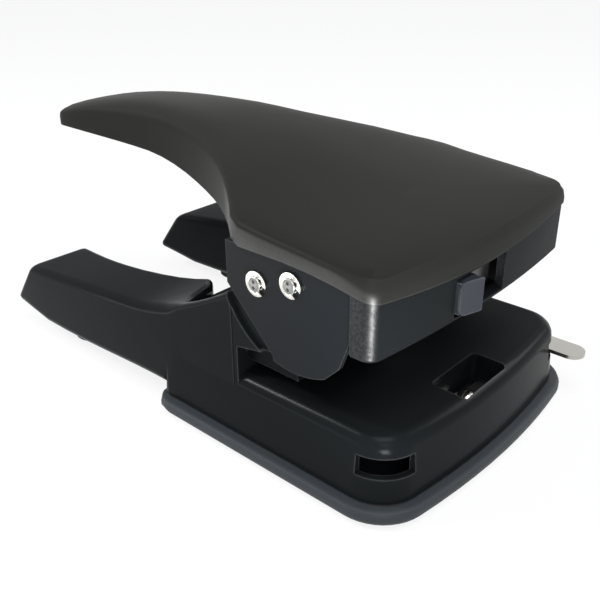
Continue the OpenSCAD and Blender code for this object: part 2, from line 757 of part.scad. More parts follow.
module cover_cap() {
    outer = full_loop(cover_edge(0));
    inner = full_loop(cover_edge(cover_t));
    spread = [0.96, 0.88, 0.7, 0.45, 0.2, 0.05];
    rings = concat(
        [for (i = [len(spread) - 1:-1:0]) top_ring(inner, spread[i], cover_t)],
        [top_ring(inner, 1, cover_t + 0.6, 1.2), low_ring(inner), low_ring(outer), top_ring(outer, 1, 1.8, 2.4),
         top_ring(outer, 0.993, 0.7, 1.1, 0.005), top_ring(outer, 0.98, 0.2, 0.5, 0.012)],
        [for (f = spread) top_ring(outer, f, 0)]);
    n = len(outer);
    m = n / 2;
    last = len(rings) - 1;
    cap = [for (j = [0:m - 1]) let (a = j, b = j + 1, c = (n - j) % n, d = n - j - 1)
        each j == 0 ? [[a, d, b]] : j == m - 1 ? [[a, c, b]] : [[a, d, b], [a, c, d]]];
    polyhedron(
        points = [for (ring = rings, p = ring) p],
        faces = concat(
            [for (i = [0:last - 1], j = [0:n - 1]) let (k = (j + 1) % n)
                each [[i * n + j, (i + 1) * n + j, (i + 1) * n + k], [i * n + j, (i + 1) * n + k, i * n + k]]],
            [for (f = cap) [for (v = f) last * n + v]],
            [for (f = cap) [f[2], f[1], f[0]]]));
}

module lever_cover() {
    color(black_shell) cover_cap();
}

// Front panel: a wall that hangs inside the rim of the cover, with the lock window
panel_inset = 0.6;
tab_inset = cover_t + 0.1;
panel_t = 2;
panel_low = rim_low - 4 - panel_h;
tab_h = 1.6;
panel_back = fulcrum_y + cheek_front + 0.8;
window_w = button_w + lock_travel + 1;
lock_z = panel_low + panel_h / 2 - 1.2;
window_gap = 0.8;

// A wall along the front outline, from d to d + t inside the cover's edge, open at the back
function wall_loop(d, t) = let (half = concat(cover_nose(d), [[cover_half - d, -panel_back]]),
                                back = concat(cover_nose(d + t), [[cover_half - d - t, -panel_back]]))
    concat([for (i = [len(half) - 1:-1:1]) [-half[i][0], half[i][1]]], half,
           [for (i = [len(back) - 1:-1:0]) back[i]], [for (i = [1:len(back) - 1]) [-back[i][0], back[i][1]]]);
function under_rim(loop, drop) = [for (p = loop) [p[0], p[1], low_z(p[0], p[1]) - drop]];

// A flush wall below the rim, with a tab that goes up behind the rim
module front_panel() {
    back = tab_inset + panel_t;
    tab = wall_loop(tab_inset, panel_t);
    face = wall_loop(panel_inset, back - panel_inset);
    m = len(face) / 2;
    color(black_shell) difference() {
        wall_loft([under_rim(tab, -tab_h),
                   [for (i = [0:2 * m - 1]) under_rim(tab, i < m ? 0.1 : 0.5)[i]],
                   [for (i = [0:2 * m - 1]) under_rim(face, i < m ? 0.1 : 1)[i]],
                   at_height(face, panel_low + 1.2),
                   at_height(wall_loop(panel_inset + 0.8, back - panel_inset - 0.8), panel_low)]);
        translate([lock_x - window_w / 2, -cover_front - 1, lock_z - button_h / 2 - window_gap])
            cube([window_w, 12, button_h + 2 * window_gap]);
    }
}

// Lock: a steel slide behind the panel, and the button on it
slide_front = -cover_front + tab_inset + panel_t + 1.5;
slide_t = 1.5;
slide_back = slide_front + slide_t;
catch_front = -slide_back - 0.6;
slide_low = lock_z - 7.8;
slide_h = 13.8;
slide_left = lock_x - window_w / 2 - 4;
hook_w = 10;
hook_x0 = catch_x0 - lock_travel;
hook_reach = 5;
hook_z = slide_low + 3.5;
button_x = lock_x - window_w / 2 + 0.5;
button_out = 3.6;

module lock_slide() {
    color(bright_steel) difference() {
        union() {
            translate([slide_left, slide_front, slide_low])
                cube([hook_x0 + hook_w - slide_left, slide_t, slide_h]);
            translate([hook_x0, slide_front, hook_z]) cube([hook_w, slide_t + hook_reach, 2]);
        }
        lock_rivet_holes(screw_d - 1 + 2 * loose_gap);
    }
}

module lock_rivet_holes(d) {
    for (s = [-1, 1]) translate([button_x + button_w / 2 + s * button_w / 4, slide_front - 2.4, lock_z])
        rotate([-90, 0, 0]) cylinder(d = d, h = slide_t + 3.4);
}

// A finger piece that ramps out to one side, with round corners, on a neck through the window
module lock_button() {
    low = lock_z - button_h / 2;
    face = -cover_front + panel_inset;
    color(button_grey) difference() {
        union() {
            intersection() {
                translate([button_x, 0, low]) linear_extrude(button_h) polygon([
                    [0, face - 0.2], [0, face - 0.9], [button_w - 1.2, face - button_out],
                    [button_w, face - button_out + 0.8], [button_w, face - 0.2]]);
                translate([button_x + button_w / 2, face + 1, lock_z]) rotate([90, 0, 0])
                    linear_extrude(button_out + 2) round_rect(button_w, button_h, 2.4);
            }
            translate([button_x + 0.5, face - 0.4, low + 0.4])
                cube([button_w - 1, slide_front - face + 0.4, button_h - 0.8]);
        }
        lock_rivet_holes(screw_d - 1 + 2 * loose_gap);
    }
}

module lock_rivets() {
    shank = screw_d - 1;
    color(bright_steel) for (s = [-1, 1])
        translate([button_x + button_w / 2 + s * button_w / 4, slide_front - 2, lock_z]) rotate([-90, 0, 0])
            cylinder(d = shank, h = slide_t + 2);
}

// Punches
collar_d = 13;
collar_t = 2;
collar_z = drive_z - 9.5;
head_w = 7;
head_half = 6.5;
head_gap = 0.25;

module punch() {
    shift = (drive_y - pressed_y) / 2 + 0.3;
    head_top = drive_z + pin_d / 2 + 3;
    mid = (drive_y + pressed_y) / 2;
    difference() {
        union() {
            translate([0, 0, tip_z]) cylinder(d = hole_d, h = collar_z - tip_z + 0.5);
            translate([0, 0, collar_z]) cylinder(d = collar_d, h = collar_t);
            translate([-head_w / 2, -head_half, collar_z + collar_t - 0.5])
                cube([head_w, 2 * head_half, head_top - collar_z - collar_t + 0.5]);
        }
        cross_slot(-head_w, head_w, [mid - shift, drive_z], [mid + shift, drive_z], pin_d + 2 * head_gap);
        translate([-hole_d, 0, tip_z - 0.6]) rotate([0, 90, 0]) cylinder(d = 3, h = 2 * hole_d);
    }
}

module punch_left() { color(bright_steel) translate([-hole_x, 0, 0]) punch(); }
module punch_right() { color(bright_steel) translate([hole_x, 0, 0]) punch(); }

// Return springs: one unbroken wire, wound on a helix with closed ends
spring_low = plate_top + wire_d / 2 + 0.02;
spring_high = collar_z - wire_d / 2 - 0.02;
spring_steps = curls * 8;
end_pitch = wire_d + 0.55;

function spring_rise(t) = let (
    turns = t * curls, free = spring_high - spring_low - 2 * end_pitch, mid = curls - 2)
    turns < 1 ? end_pitch * turns
    : turns > curls - 1 ? spring_high - spring_low - end_pitch * (curls - turns)
    : end_pitch + free * (turns - 1) / mid;
function spring_point(i) = let (t = i / spring_steps)
    [spring_d / 2 * cos(360 * curls * t), spring_d / 2 * sin(360 * curls * t), spring_low + spring_rise(t)];
function wire_ring(i) = let (
    a = 360 * curls * i / spring_steps, p = spring_point(i),
    out = [cos(a), sin(a), 0], up = [0, 0, 1])
    [for (k = [0:5]) p + wire_d / 2 * (out * cos(60 * k) + up * sin(60 * k))];

spring_gap = min([for (i = [0:spring_steps - 8], j = [6:10]) if (i + j <= spring_steps)
    norm(spring_point(i + j) - spring_point(i))]) - wire_d;
echo(spring_least_gap = spring_gap);

module spring() {
    loft([for (i = [0:spring_steps]) wire_ring(i)]);
}

module spring_left() { color(bright_steel) translate([-hole_x, 0, 0]) spring(); }
module spring_right() { color(bright_steel) translate([hole_x, 0, 0]) spring(); }

base_housing();
base_fork();
chip_tray();
rear_feet();
punch_frame();
frame_rivets();
die_plate();
die_left();
die_right();
die_screws();
guide_bush_left();
guide_bush_right();
guide_stud();
guide_washer();
paper_guide();
fulcrum_shaft();
fulcrum_clips();
drive_shaft();
drive_clips();
lever_bracket();
lever_cover();
front_panel();
lock_slide();
lock_button();
lock_rivets();
punch_left();
punch_right();
spring_left();
spring_right();
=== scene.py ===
"""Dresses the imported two-hole punch: finishes, small added pieces, studio and camera."""

import math

import bmesh
import bpy
from mathutils import Matrix, Vector


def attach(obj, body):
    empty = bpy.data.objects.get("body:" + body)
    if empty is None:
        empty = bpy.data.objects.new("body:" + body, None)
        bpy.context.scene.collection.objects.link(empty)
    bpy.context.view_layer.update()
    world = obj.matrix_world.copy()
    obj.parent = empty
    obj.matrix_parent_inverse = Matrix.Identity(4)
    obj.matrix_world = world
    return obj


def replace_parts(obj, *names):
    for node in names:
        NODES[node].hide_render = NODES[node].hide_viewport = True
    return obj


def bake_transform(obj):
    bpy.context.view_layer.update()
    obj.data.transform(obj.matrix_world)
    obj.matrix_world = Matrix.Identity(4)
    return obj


bl_info = {
    "name": "Two-hole punch",
    "version": (1, 0, 0),
    "blender": (4, 5, 0),
    "location": "3D View > Sidebar > Punch",
    "description": "Finishes and shows a desk punch for two filing holes",
    "category": "Object",
}

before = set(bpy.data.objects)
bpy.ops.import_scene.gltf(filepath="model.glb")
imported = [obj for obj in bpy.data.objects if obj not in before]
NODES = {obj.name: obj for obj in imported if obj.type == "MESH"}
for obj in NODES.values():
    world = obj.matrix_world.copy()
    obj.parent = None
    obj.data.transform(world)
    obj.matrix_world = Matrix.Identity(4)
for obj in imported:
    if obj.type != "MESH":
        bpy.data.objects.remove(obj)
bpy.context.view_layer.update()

MM = 0.001
PHOTO_PIXELS = 600
SENSOR_MM = 36.0
CAMERA_CLIP = (0.01, 20.0)

# Meshes
WELD_DISTANCE = 1e-6
BEVEL_SEGMENTS = 2
BEVEL_FROM = math.radians(40.0)
SHARP_FROM = math.radians(38.0)
HEAD_SHARE = 0.46
HEAD_SINK = 0.03 * MM

# Finishes: tone and spread of the handling, strength of the bump, stretch of the brush marks
PLASTIC_TONE, PLASTIC_SPREAD, PLASTIC_BUMP = 0.14, 0.1, 0.35
METAL_TONE, METAL_SPREAD, METAL_BUMP = 0.16, 0.16, 0.25
METAL_CLOUDS = 70.0
GRAIN_SOFTNESS = 0.55
SHEEN_ROUGHNESS = 0.4
ALONG_X = (60.0, 900.0, 900.0)
ALONG_Z = (900.0, 900.0, 60.0)

# Floor and sky
FLOOR_HALF, FLOOR_HEIGHT, FLOOR_CELLS = 3.0, -0.4 * MM, 8
FLOOR_GREY = (0.85, 0.85, 0.85)
FLOOR_ROUGHNESS, FLOOR_MIRROR = 0.9, 0.1
FLOOR_WHITE_SHARE, SKY_WHITE_SHARE = 0.86, 1.0
SKY_TINT = (0.95, 0.97, 1.0, 1.0)
WHITE = (1.0, 1.0, 1.0, 1.0)

# Lamps: name, place, aim, width and height, watts, spread
LAMPS = (
    ("TopLamp", (-0.20, -0.25, 0.90), (0.0, 0.03, 0.05), (0.5, 0.5), 5.0, math.pi),
    ("FrontLamp", (-0.62, -0.66, 0.62), (0.0, 0.0, 0.05), (0.35, 0.35), 1.6, math.pi),
    ("BackLamp", (-0.45, 0.58, 0.68), (0.0, 0.0, 0.03), (0.1, 0.25), 5.0, math.pi),
    ("FillLamp", (0.70, -0.45, 0.50), (0.0, 0.0, 0.05), (0.4, 0.4), 2.5, math.pi),
    ("CornerCard", (-0.118, -0.112, 0.022), (-0.0575, -0.0455, 0.066), (0.03, 0.045), 0.045,
     math.radians(60.0)),
    ("SideCard", (-0.182, 0.10, 0.006), (-0.061, 0.0, 0.075), (0.20, 0.03), 0.06, math.pi),
)


class FinishSettings(bpy.types.PropertyGroup):
    """Colours of the finishes, as linear values."""

    shell: bpy.props.FloatVectorProperty(
        name="Shell", description="Moulded black of the lever cover",
        subtype="COLOR", size=3, default=(0.0135, 0.0135, 0.0125))
    base: bpy.props.FloatVectorProperty(
        name="Base", description="Moulded black of the base and the front panel",
        subtype="COLOR", size=3, default=(0.0064, 0.0077, 0.0085))
    cheek: bpy.props.FloatVectorProperty(
        name="Cheek", description="Paint of the lever bracket",
        subtype="COLOR", size=3, default=(0.0062, 0.0076, 0.0092))
    tray: bpy.props.FloatVectorProperty(
        name="Tray", description="Moulded blue grey of the chip tray",
        subtype="COLOR", size=3, default=(0.023, 0.028, 0.033))
    button: bpy.props.FloatVectorProperty(
        name="Button", description="Moulded grey of the lock button",
        subtype="COLOR", size=3, default=(0.017, 0.021, 0.027))
    steel: bpy.props.FloatVectorProperty(
        name="Steel", description="Bare steel of the punch mechanism",
        subtype="COLOR", size=3, default=(0.56, 0.56, 0.54))
    nickel: bpy.props.FloatVectorProperty(
        name="Nickel", description="Nickel plate of the clips, the stud and the guide",
        subtype="COLOR", size=3, default=(0.70, 0.68, 0.63))
    rubber: bpy.props.FloatVectorProperty(
        name="Rubber", description="Rubber of the rear feet",
        subtype="COLOR", size=3, default=(0.014, 0.014, 0.014))


class EdgeSettings(bpy.types.PropertyGroup):
    """Small roundings of moulded, pressed and turned edges."""

    moulded: bpy.props.FloatProperty(
        name="Moulded edge", description="Rounding of the edges of plastic pieces",
        unit="LENGTH", default=0.5 * MM, min=0.0)
    pressed: bpy.props.FloatProperty(
        name="Pressed edge", description="Rounding of the edges of sheet metal",
        unit="LENGTH", default=0.25 * MM, min=0.0)
    turned: bpy.props.FloatProperty(
        name="Turned edge", description="Rounding of the edges of pins and dies",
        unit="LENGTH", default=0.12 * MM, min=0.0)


class StageSettings(bpy.types.PropertyGroup):
    """Camera and light."""

    camera_place: bpy.props.FloatVectorProperty(
        name="Camera place", description="Where the camera stands",
        subtype="TRANSLATION", unit="LENGTH", size=3, default=(-0.20787, -0.15429, 0.16891))
    camera_aim: bpy.props.FloatVectorProperty(
        name="Camera aim", description="Direction the camera looks in",
        subtype="DIRECTION", size=3, default=(0.6631, 0.6008, -0.4465))
    camera_roll: bpy.props.FloatProperty(
        name="Camera roll", description="Turn of the camera about its aim",
        subtype="ANGLE", default=-0.0078)
    focal_pixels: bpy.props.FloatProperty(
        name="Focal length", description="Focal length in pixels of the photograph's frame",
        default=789.06, min=100.0)
    light_level: bpy.props.FloatProperty(
        name="Light level", description="Factor on every lamp", default=1.0, min=0.0)
    sky_level: bpy.props.FloatProperty(
        name="Sky level", description="Strength of the plain light from all round",
        default=0.55, min=0.0)


def settings():
    """The three groups of settings of the scene."""
    scene = bpy.context.scene
    return scene.punch_finish, scene.punch_edges, scene.punch_stage


# Shader groups


def new_group(name, inputs, outputs):
    """An empty shader node group with named float, colour or vector sockets."""
    group = bpy.data.node_groups.new(name, "ShaderNodeTree")
    for label, kind, default in inputs:
        socket = group.interface.new_socket(label, in_out="INPUT", socket_type=kind)
        if default is not None:
            socket.default_value = default
    for label, kind in outputs:
        group.interface.new_socket(label, in_out="OUTPUT", socket_type=kind)
    return group, group.nodes.new("NodeGroupInput"), group.nodes.new("NodeGroupOutput")


def add(tree, kind, **values):
    """A node with the given attributes, or inputs where the name starts with a capital."""
    node = tree.nodes.new(kind)
    for key, value in values.items():
        if key[0].isupper():
            node.inputs[key.replace("_", " ")].default_value = value
        else:
            setattr(node, key, value)
    return node


def texture_place(tree):
    """The piece's own coordinates, in metres."""
    return tree.nodes.new("ShaderNodeTexCoord").outputs["Object"]


def grain_group():
    """Fine moulded or sprayed grain: a height for bump and a mask of its hollows."""
    if "FineGrain" in bpy.data.node_groups:
        return bpy.data.node_groups["FineGrain"]
    group, start, end = new_group(
        "FineGrain",
        [("Scale", "NodeSocketFloat", 1600.0), ("Softness", "NodeSocketFloat", 0.5)],
        [("Height", "NodeSocketFloat"), ("Hollows", "NodeSocketFloat")])
    place = texture_place(group)
    fine = add(group, "ShaderNodeTexNoise", Detail=2.0)
    cells = add(group, "ShaderNodeTexVoronoi", feature="SMOOTH_F1", Smoothness=0.8)
    blend = add(group, "ShaderNodeMix", data_type="FLOAT")
    hollows = add(group, "ShaderNodeMapRange", From_Min=0.35, From_Max=0.65)
    for texture in (fine, cells):
        group.links.new(place, texture.inputs["Vector"])
        group.links.new(start.outputs["Scale"], texture.inputs["Scale"])
    group.links.new(start.outputs["Softness"], blend.inputs["Factor"])
    group.links.new(cells.outputs["Distance"], blend.inputs["A"])
    group.links.new(fine.outputs["Fac"], blend.inputs["B"])
    group.links.new(blend.outputs["Result"], hollows.inputs["Value"])
    group.links.new(blend.outputs["Result"], end.inputs["Height"])
    group.links.new(hollows.outputs["Result"], end.inputs["Hollows"])
    return group


def handling_group():
    """Cloudy change of tone and roughness from handling."""
    if "Handling" in bpy.data.node_groups:
        return bpy.data.node_groups["Handling"]
    group, start, end = new_group(
        "Handling",
        [("Colour", "NodeSocketColor", (0.03, 0.03, 0.03, 1.0)), ("Tone", "NodeSocketFloat", 0.12),
         ("Roughness", "NodeSocketFloat", 0.4), ("Spread", "NodeSocketFloat", 0.06),
         ("Scale", "NodeSocketFloat", 28.0)],
        [("Colour", "NodeSocketColor"), ("Roughness", "NodeSocketFloat")])
    cloud = add(group, "ShaderNodeTexNoise", Detail=4.0, Roughness=0.6)
    shift = add(group, "ShaderNodeMath", operation="SUBTRACT")
    shift.inputs[1].default_value = 0.5
    tone = add(group, "ShaderNodeMath", operation="MULTIPLY_ADD")
    tone.inputs[2].default_value = 1.0
    rough = add(group, "ShaderNodeMath", operation="MULTIPLY_ADD")
    tint = add(group, "ShaderNodeVectorMath", operation="SCALE")
    group.links.new(texture_place(group), cloud.inputs["Vector"])
    group.links.new(start.outputs["Scale"], cloud.inputs["Scale"])
    group.links.new(cloud.outputs["Fac"], shift.inputs[0])
    group.links.new(shift.outputs[0], tone.inputs[0])
    group.links.new(start.outputs["Tone"], tone.inputs[1])
    group.links.new(shift.outputs[0], rough.inputs[0])
    group.links.new(start.outputs["Spread"], rough.inputs[1])
    group.links.new(start.outputs["Roughness"], rough.inputs[2])
    group.links.new(start.outputs["Colour"], tint.inputs[0])
    group.links.new(tone.outputs[0], tint.inputs["Scale"])
    group.links.new(tint.outputs[0], end.inputs["Colour"])
    group.links.new(rough.outputs[0], end.inputs["Roughness"])
    return group


def streak_group():
    """Fine straight brush marks along one axis of the piece."""
    if "BrushMarks" in bpy.data.node_groups:
        return bpy.data.node_groups["BrushMarks"]
    group, start, end = new_group(
        "BrushMarks",
        [("Stretch", "NodeSocketVector", (30.0, 900.0, 900.0))],
        [("Marks", "NodeSocketFloat")])
    scaled = add(group, "ShaderNodeVectorMath", operation="MULTIPLY")
    noise = add(group, "ShaderNodeTexNoise", Scale=1.0, Detail=3.0)
    group.links.new(texture_place(group), scaled.inputs[0])
    group.links.new(start.outputs["Stretch"], scaled.inputs[1])
    group.links.new(scaled.outputs[0], noise.inputs["Vector"])
    group.links.new(noise.outputs["Fac"], end.inputs["Marks"])
    return group


def edge_wear_and_highlight_group():
    """Mask of outer edges, from how little of the piece lies just under its skin; it lightens them
    partly as rubbed wear and partly as painted highlight.
    """
    if "EdgeWear" in bpy.data.node_groups:
        return bpy.data.node_groups["EdgeWear"]
    group, start, end = new_group(
        "EdgeWear",
        [("Reach", "NodeSocketFloat", 0.8 * MM), ("Patchiness", "NodeSocketFloat", 0.5)],
        [("Mask", "NodeSocketFloat")])
    inside = add(group, "ShaderNodeAmbientOcclusion", samples=6, inside=True, only_local=True)
    thin = add(group, "ShaderNodeMapRange", From_Min=0.9, From_Max=0.5)
    cloud = add(group, "ShaderNodeTexNoise", Scale=160.0, Detail=3.0)
    gaps = add(group, "ShaderNodeMath", operation="MULTIPLY")
    mask = add(group, "ShaderNodeMath", operation="SUBTRACT", use_clamp=True)
    group.links.new(start.outputs["Reach"], inside.inputs["Distance"])
    group.links.new(inside.outputs["AO"], thin.inputs["Value"])
    group.links.new(texture_place(group), cloud.inputs["Vector"])
    group.links.new(cloud.outputs["Fac"], gaps.inputs[0])
    group.links.new(start.outputs["Patchiness"], gaps.inputs[1])
    group.links.new(thin.outputs["Result"], mask.inputs[0])
    group.links.new(gaps.outputs[0], mask.inputs[1])
    group.links.new(mask.outputs[0], end.inputs["Mask"])
    return group


def facing_group():
    """Masks of faces that look up, and of upright side faces ahead of the lever's handle."""
    if "Facing" in bpy.data.node_groups:
        return bpy.data.node_groups["Facing"]
    group, _, end = new_group(
        "Facing", [], [("Up", "NodeSocketFloat"), ("Sideways", "NodeSocketFloat")])
    skin = group.nodes.new("ShaderNodeTexCoord")
    normal = group.nodes.new("ShaderNodeSeparateXYZ")
    place = group.nodes.new("ShaderNodeSeparateXYZ")
    either = add(group, "ShaderNodeMath", operation="ABSOLUTE")
    up = add(group, "ShaderNodeMapRange", From_Min=0.93, From_Max=0.995)
    aside = add(group, "ShaderNodeMapRange", From_Min=0.4, From_Max=0.8)
    upright = add(group, "ShaderNodeMapRange", From_Min=0.4, From_Max=0.15)
    ahead = add(group, "ShaderNodeMapRange", From_Min=30.0 * MM, From_Max=8.0 * MM)
    both = add(group, "ShaderNodeMath", operation="MULTIPLY")
    sideways = add(group, "ShaderNodeMath", operation="MULTIPLY")
    group.links.new(skin.outputs["Normal"], normal.inputs["Vector"])
    group.links.new(skin.outputs["Object"], place.inputs["Vector"])
    group.links.new(normal.outputs["Z"], up.inputs["Value"])
    group.links.new(normal.outputs["Z"], upright.inputs["Value"])
    group.links.new(normal.outputs["X"], either.inputs[0])
    group.links.new(either.outputs[0], aside.inputs["Value"])
    group.links.new(place.outputs["Y"], ahead.inputs["Value"])
    group.links.new(aside.outputs["Result"], both.inputs[0])
    group.links.new(ahead.outputs["Result"], both.inputs[1])
    group.links.new(upright.outputs["Result"], sideways.inputs[0])
    group.links.new(both.outputs[0], sideways.inputs[1])
    group.links.new(up.outputs["Result"], end.inputs["Up"])
    group.links.new(sideways.outputs[0], end.inputs["Sideways"])
    return group


def place_group(tree, group, **values):
    """A group node in a material, with its own input values."""
    node = tree.nodes.new("ShaderNodeGroup")
    node.node_tree = group
    for key, value in values.items():
        node.inputs[key].default_value = value
    return node


# Materials


def new_material(name, display):
    """A node material with a Principled shader, and its tree and shader."""
    material = bpy.data.materials.new(name)
    material.use_nodes = True
    material.diffuse_color = (*display, 1.0)
    tree = material.node_tree
    return material, tree, tree.nodes["Principled BSDF"]


def moulded_plastic(name, colour, roughness, grain, mirror=0.3, wear_and_highlight=0.045, reach=0.8 * MM,
                    dull_up=0.0, shine_sides=0.0, speckle=0.1):
    """Moulded or painted skin with a fine grain and lightened edges, partly rubbed wear and partly
    painted highlight.

    grain is the scale and the depth of the grain. wear_and_highlight is the grey added at an outer
    edge, partly rubbed wear and partly painted highlight, and reach how far it goes. dull_up makes
    faces that look up that much rougher. shine_sides gives upright side faces a clear sheen, which
    the grain breaks up as far as speckle says.
    """
    material, tree, shader = new_material(name, colour)
    shader.inputs["Specular IOR Level"].default_value = mirror
    handling = place_group(tree, handling_group(), Colour=(*colour, 1.0), Tone=PLASTIC_TONE,
                           Roughness=roughness, Spread=PLASTIC_SPREAD)
    scale, depth = grain
    pores = place_group(tree, grain_group(), Scale=scale, Softness=GRAIN_SOFTNESS)
    bump = add(tree, "ShaderNodeBump", Strength=PLASTIC_BUMP, Distance=depth)
    tree.links.new(pores.outputs["Height"], bump.inputs["Height"])
    tree.links.new(bump.outputs["Normal"], shader.inputs["Normal"])
    # Painted highlight: outer edges are lightened towards a paler grey, partly as rubbed wear and
    # partly to stand in for highlights on the edges.
    edge = place_group(tree, edge_wear_and_highlight_group(), Reach=reach)
    skin = add(tree, "ShaderNodeMix", data_type="RGBA")
    factor, clean, rubbed_and_lit = skin.inputs[0], skin.inputs[6], skin.inputs[7]
    rubbed_and_lit.default_value = (*(part + wear_and_highlight for part in colour), 1.0)
    tree.links.new(edge.outputs["Mask"], factor)
    tree.links.new(handling.outputs["Colour"], clean)
    tree.links.new(skin.outputs[2], shader.inputs["Base Color"])
    rough = handling.outputs["Roughness"]
    facing = place_group(tree, facing_group()) if dull_up or shine_sides else None
    if dull_up:
        more = add(tree, "ShaderNodeMath", operation="MULTIPLY_ADD")
        more.inputs[1].default_value = dull_up
        tree.links.new(facing.outputs["Up"], more.inputs[0])
        tree.links.new(rough, more.inputs[2])
        rough = more.outputs[0]
    if shine_sides:
        broken = add(tree, "ShaderNodeMath", operation="MULTIPLY_ADD")
        broken.inputs[1].default_value = 2.0 * shine_sides * speckle
        broken.inputs[2].default_value = shine_sides * (1.0 - speckle)
        sheen = add(tree, "ShaderNodeMath", operation="MULTIPLY", use_clamp=True)
        tree.links.new(pores.outputs["Hollows"], broken.inputs[0])
        tree.links.new(broken.outputs[0], sheen.inputs[0])
        tree.links.new(facing.outputs["Sideways"], sheen.inputs[1])
        tree.links.new(sheen.outputs[0], shader.inputs["Coat Weight"])
        shader.inputs["Coat Roughness"].default_value = SHEEN_ROUGHNESS
    tree.links.new(rough, shader.inputs["Roughness"])
    return material


def bare_metal(name, colour, roughness, stretch, depth):
    """Bare or plated metal with brush marks of some stretch and depth."""
    material, tree, shader = new_material(name, colour)
    shader.inputs["Metallic"].default_value = 1.0
    handling = place_group(tree, handling_group(), Colour=(*colour, 1.0), Tone=METAL_TONE,
                           Roughness=roughness, Spread=METAL_SPREAD, Scale=METAL_CLOUDS)
    brushed = place_group(tree, streak_group(), Stretch=stretch)
    bump = add(tree, "ShaderNodeBump", Strength=METAL_BUMP, Distance=depth)
    tree.links.new(brushed.outputs["Marks"], bump.inputs["Height"])
    tree.links.new(bump.outputs["Normal"], shader.inputs["Normal"])
    tree.links.new(handling.outputs["Colour"], shader.inputs["Base Color"])
    tree.links.new(handling.outputs["Roughness"], shader.inputs["Roughness"])
    return material


def dimmed(colour, share):
    """A colour at a share of its strength."""
    return tuple(share * part for part in colour)


def make_plastics(finish):
    """The moulded, painted and blacked finishes."""
    shell, base, cheek = tuple(finish.shell), tuple(finish.base), tuple(finish.cheek)
    moulded_plastic("MouldedShell", shell, roughness=0.46, grain=(1500.0, 0.05 * MM), mirror=0.05,
                    wear_and_highlight=0.02, reach=0.6 * MM, shine_sides=0.7)
    moulded_plastic("MouldedPanel", base, roughness=0.40, grain=(1100.0, 0.14 * MM), mirror=0.03,
                    wear_and_highlight=0.03, shine_sides=0.45, speckle=0.45)
    moulded_plastic("MouldedBase", base, roughness=0.22, grain=(1300.0, 0.03 * MM), mirror=0.04,
                    dull_up=0.32)
    moulded_plastic("PaintedCheek", cheek, roughness=0.42, grain=(2200.0, 0.02 * MM), mirror=0.09,
                    reach=0.5 * MM)
    # The punch frame takes the cheek's paint at 0.4. It is a blacked finish, made this dark also as
    # painted shade under the cheek and in the throat.
    moulded_plastic("BlackedSteelPaintedShade", dimmed(cheek, 0.4), roughness=0.40, grain=(2400.0, 0.015 * MM),
                    mirror=0.05, reach=0.4 * MM)
    moulded_plastic("MouldedTray", tuple(finish.tray), roughness=0.52, grain=(1400.0, 0.05 * MM))
    moulded_plastic("MouldedButton", tuple(finish.button), roughness=0.42,
                    grain=(1700.0, 0.04 * MM))
    moulded_plastic("FootRubber", tuple(finish.rubber), roughness=0.75, grain=(900.0, 0.08 * MM))


def make_metals(finish):
    """The bare and plated finishes."""
    steel, nickel = tuple(finish.steel), tuple(finish.nickel)
    # Steel at a sixth of its strength as painted shade: it darkens the lock slide seen through the
    # lock window and the floors of the pin heads' dimples.
    bare_metal("PaintedShadeSteel", dimmed(steel, 0.16), roughness=0.24, stretch=ALONG_X, depth=0.02 * MM)
    bare_metal("BareSteel", steel, roughness=0.28, stretch=ALONG_X, depth=0.02 * MM)
    bare_metal("GuideSteel", dimmed(nickel, 0.66), roughness=0.30, stretch=ALONG_X, depth=0.02 * MM)
    bare_metal("PinSteel", dimmed(steel, 0.5), roughness=0.38, stretch=(60.0, 700.0, 700.0),
               depth=0.03 * MM)
    bare_metal("TurnedSteel", steel, roughness=0.22, stretch=ALONG_Z, depth=0.015 * MM)
    bare_metal("NickelPlate", nickel, roughness=0.16, stretch=(80.0, 500.0, 500.0), depth=0.01 * MM)


def materials():
    """Every finish by name, made once."""
    if "MouldedShell" not in bpy.data.materials:
        finish, _, _ = settings()
        make_plastics(finish)
        make_metals(finish)
    return bpy.data.materials


# CAD nodes


def plain_object(name, data):
    """A new object in the scene."""
    made = bpy.data.objects.new(name, data)
    bpy.context.scene.collection.objects.link(made)
    return made


def object_from(bm, name):
    """A new object with the mesh that was built, which is then freed."""
    mesh = bpy.data.meshes.new(name)
    bm.to_mesh(mesh)
    bm.free()
    return plain_object(name, mesh)


def node_copy(node, name):
    """A new object with a CAD node's shape where it stands, its doubled points joined."""
    bm = bmesh.new()
    bm.from_mesh(node.data)
    bm.transform(node.matrix_world)
    bmesh.ops.remove_doubles(bm, verts=bm.verts, dist=WELD_DISTANCE)
    return object_from(bm, name)


def node_box(name):
    """Lowest and highest corner of a CAD node."""
    node = NODES[name]
    corners = [node.matrix_world @ Vector(corner) for corner in node.bound_box]
    return (Vector([min(corner[axis] for corner in corners) for axis in range(3)]),
            Vector([max(corner[axis] for corner in corners) for axis in range(3)]))


